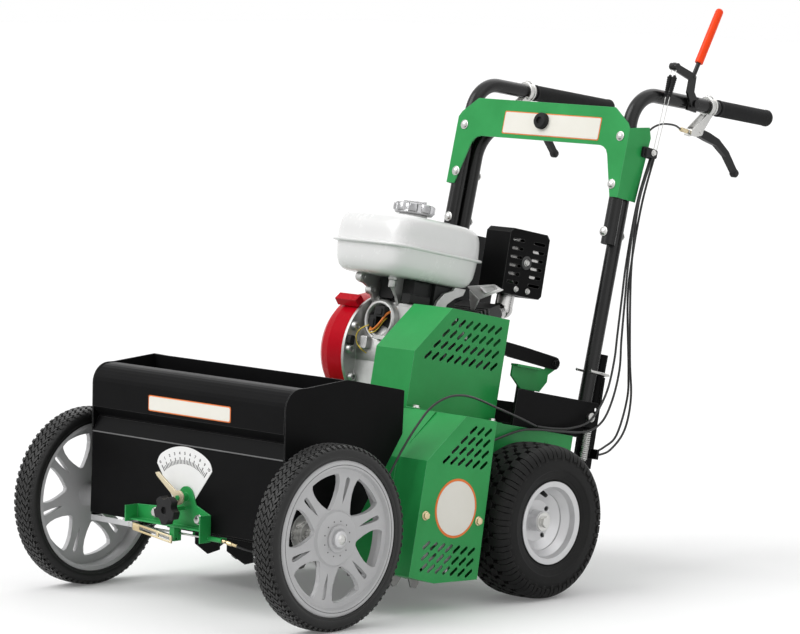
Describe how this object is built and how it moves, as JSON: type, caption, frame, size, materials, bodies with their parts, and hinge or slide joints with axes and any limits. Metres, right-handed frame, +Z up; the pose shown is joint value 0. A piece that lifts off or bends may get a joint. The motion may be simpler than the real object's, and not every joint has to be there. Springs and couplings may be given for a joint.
{
  "type": "walk-behind overseeder",
  "caption": "Walk-behind powered overseeder: seed hopper on its own front wheels, belt-driven slitting reel, engine, rear drive wheels and folding handle.",
  "frame": {"origin": "on the ground under the middle of the bounding box", "axes": "+Z up, -Y forward to the seed box, +X to the operator's left"},
  "size_m": [0.81, 1.6883, 1.2479],
  "materials": {
    "green_paint": "gloss",
    "black_paint": "satin",
    "red_paint": "gloss",
    "white_paint": "gloss",
    "brass_plate": "satin",
    "zinc_plate": "satin",
    "bare_steel": "satin",
    "cast_alloy": "cast",
    "tyre_rubber": "matte",
    "soft_rubber": "matte",
    "black_plastic": "matte",
    "red_plastic": "gloss",
    "grey_plastic": "matte",
    "orange_plastic": "gloss",
    "iron": "matte"
  },
  "bodies": {
    "chassis": {"deck": "green_paint", "lower_belt_guard": "green_paint", "upper_belt_guard": "green_paint", "handle_base": "black_paint", "handle_pivot_bolts": "zinc_plate", "engine_block": "cast_alloy", "cylinder": "cast_alloy", "fuel_tank": "white_paint", "tank_brackets": "cast_alloy", "fan_cover": "red_paint", "muffler": "bare_steel", "muffler_guard": "black_paint", "air_cleaner": "black_plastic", "transaxle": "cast_alloy", "shaft_bearings": "bare_steel", "latch_bracket": "green_paint", "return_spring": "bare_steel", "belts": "soft_rubber", "control_cables": "soft_rubber", "gate_cable": "soft_rubber"},
    "seedbox": {"seed_hopper": "black_paint", "hopper_end_plates": "black_paint", "lower_front_cover": "black_paint", "adjuster_bracket": "green_paint", "gate_spring": "zinc_plate", "axle_bearings": "bare_steel", "seedbox_hinge_pins": "zinc_plate"},
    "front_axle": {"front_axle": "bare_steel", "front_left_wheel": "grey_plastic", "front_left_tyre": "tyre_rubber"},
    "front_right_wheel": {"front_right_wheel": "grey_plastic", "front_right_tyre": "tyre_rubber"},
    "rate_pointer": {"rate_pointer": "brass_plate"},
    "rate_knob": {"rate_knob": "black_plastic"},
    "seed_gate": {"seed_gate": "zinc_plate"},
    "latch_arm": {"latch_arm": "black_paint"},
    "crankshaft": {"crankshaft": "bare_steel"},
    "jackshaft": {"jackshaft": "bare_steel"},
    "reel": {"reel_shaft": "bare_steel", "reel_blades": "bare_steel"},
    "idler_arm": {"idler_arm": "black_paint"},
    "idler_pulley": {"idler_pulley": "bare_steel"},
    "hydro_pulley": {"hydro_pulley": "bare_steel"},
    "rear_wheels": {"rear_axle": "bare_steel", "rear_rims": "bare_steel", "rear_tyres": "tyre_rubber"},
    "fuel_cap": {"fuel_cap": "bare_steel"},
    "recoil_grip": {"recoil_grip": "red_plastic"},
    "handle": {"handle_lower": "black_paint", "handle_upper": "black_paint", "console_panel": "green_paint", "panel_bumper": "soft_rubber", "grips": "soft_rubber", "lever_perches": "zinc_plate", "handle_bolts": "zinc_plate", "lever_wires": "bare_steel"},
    "left_hand_lever": {"left_hand_lever": "black_plastic"},
    "right_hand_lever": {"right_hand_lever": "black_plastic"},
    "clutch_lever": {"clutch_lever": "black_paint", "lever_sleeve": "orange_plastic"}
  },
  "joints": [
    {"name": "seedbox_tilt", "type": "hinge", "parent": "chassis", "child": "seedbox", "pos_m": [0, -0.40714, 0.44337], "axis": [-1, 0, 0], "range_deg": [0, 10], "deforming": ["gate_cable"]},
    {"name": "front_axle_spin", "type": "hinge", "parent": "seedbox", "child": "front_axle", "pos_m": [0, -0.6532, 0.19], "axis": [1, 0, 0], "continuous": true},
    {"name": "front_right_spin", "type": "hinge", "parent": "seedbox", "child": "front_right_wheel", "pos_m": [0, -0.6532, 0.19], "axis": [1, 0, 0], "continuous": true},
    {"name": "rate_pointer_turn", "type": "hinge", "parent": "seedbox", "child": "rate_pointer", "pos_m": [0.01, -0.7392, 0.236], "axis": [0, 1, 0], "range_deg": [0, 104]},
    {"name": "rate_knob_turn", "type": "hinge", "parent": "seedbox", "child": "rate_knob", "pos_m": [0.005, -0.7582, 0.212], "axis": [0, 1, 0], "range_deg": [0, 270]},
    {"name": "seed_gate_slide", "type": "slide", "parent": "seedbox", "child": "seed_gate", "axis": [1, 0, 0], "range_m": [0, 0.0225], "deforming": ["gate_spring"]},
    {"name": "latch_lift", "type": "hinge", "parent": "chassis", "child": "latch_arm", "pos_m": [0.182, 0.20716, 0.46964], "axis": [-1, 0, 0], "range_deg": [0, 10]},
    {"name": "crank_spin", "type": "hinge", "parent": "chassis", "child": "crankshaft", "pos_m": [0, -0.04062, 0.48419], "axis": [1, 0, 0], "continuous": true},
    {"name": "jackshaft_spin", "type": "hinge", "parent": "chassis", "child": "jackshaft", "pos_m": [0.214, -0.23003, 0.33254], "axis": [1, 0, 0], "continuous": true},
    {"name": "reel_spin", "type": "hinge", "parent": "chassis", "child": "reel", "pos_m": [0, -0.30833, 0.12365], "axis": [1, 0, 0], "continuous": true},
    {"name": "idler_swing", "type": "hinge", "parent": "chassis", "child": "idler_arm", "pos_m": [0.1, -0.01934, 0.39448], "axis": [1, 0, 0], "range_deg": [0, 6.1]},
    {"name": "idler_spin", "type": "hinge", "parent": "idler_arm", "child": "idler_pulley", "pos_m": [0.128, -0.09362, 0.42114], "axis": [1, 0, 0], "continuous": true},
    {"name": "hydro_spin", "type": "hinge", "parent": "chassis", "child": "hydro_pulley", "pos_m": [0.13, -0.07098, 0.29653], "axis": [1, 0, 0], "continuous": true},
    {"name": "rear_axle_spin", "type": "hinge", "parent": "chassis", "child": "rear_wheels", "pos_m": [0, -0.0232, 0.165], "axis": [1, 0, 0], "continuous": true},
    {"name": "fuel_cap_turn", "type": "hinge", "parent": "chassis", "child": "fuel_cap", "pos_m": [-0.038, -0.0168, 0.79536], "axis": [0, 0.1908, 0.9816], "range_deg": [0, 90]},
    {"name": "recoil_pull", "type": "slide", "parent": "chassis", "child": "recoil_grip", "axis": [0, -0.5736, 0.8192], "range_m": [0, 0.3], "stiffness_N_per_m": 40, "springref_m": -0.02},
    {"name": "handle_fold", "type": "hinge", "parent": "chassis", "child": "handle", "pos_m": [0, 0.25014, 0.35534], "axis": [1, 0, 0], "range_deg": [0, 85], "deforming": ["control_cables"]},
    {"name": "left_lever_squeeze", "type": "hinge", "parent": "handle", "child": "left_hand_lever", "pos_m": [0.239, 0.59696, 0.96969], "axis": [1, 0, 0], "range_deg": [0, 24], "stiffness_Nm_per_rad": 1.5, "springref_deg": -34.38},
    {"name": "right_lever_squeeze", "type": "hinge", "parent": "handle", "child": "right_hand_lever", "pos_m": [-0.239, 0.51914, 0.98823], "axis": [1, 0, 0], "range_deg": [0, 24], "stiffness_Nm_per_rad": 1.5, "springref_deg": -34.38},
    {"name": "clutch_pull", "type": "hinge", "parent": "handle", "child": "clutch_lever", "pos_m": [0.2636, 0.55768, 1.03353], "axis": [-1, 0, 0], "range_deg": [0, 45], "deforming": ["lever_wires"]}
  ],
  "couplings": [
    {"joint": "jackshaft_spin", "follows": "crank_spin", "ratio": 0.80769},
    {"joint": "reel_spin", "follows": "crank_spin", "ratio": 0.62413},
    {"joint": "hydro_spin", "follows": "crank_spin", "ratio": 0.94737},
    {"joint": "idler_swing", "follows": "clutch_pull", "ratio": 0.13333},
    {"joint": "seed_gate_slide", "follows": "clutch_pull", "m_per_rad": 0.02801}
  ]
}
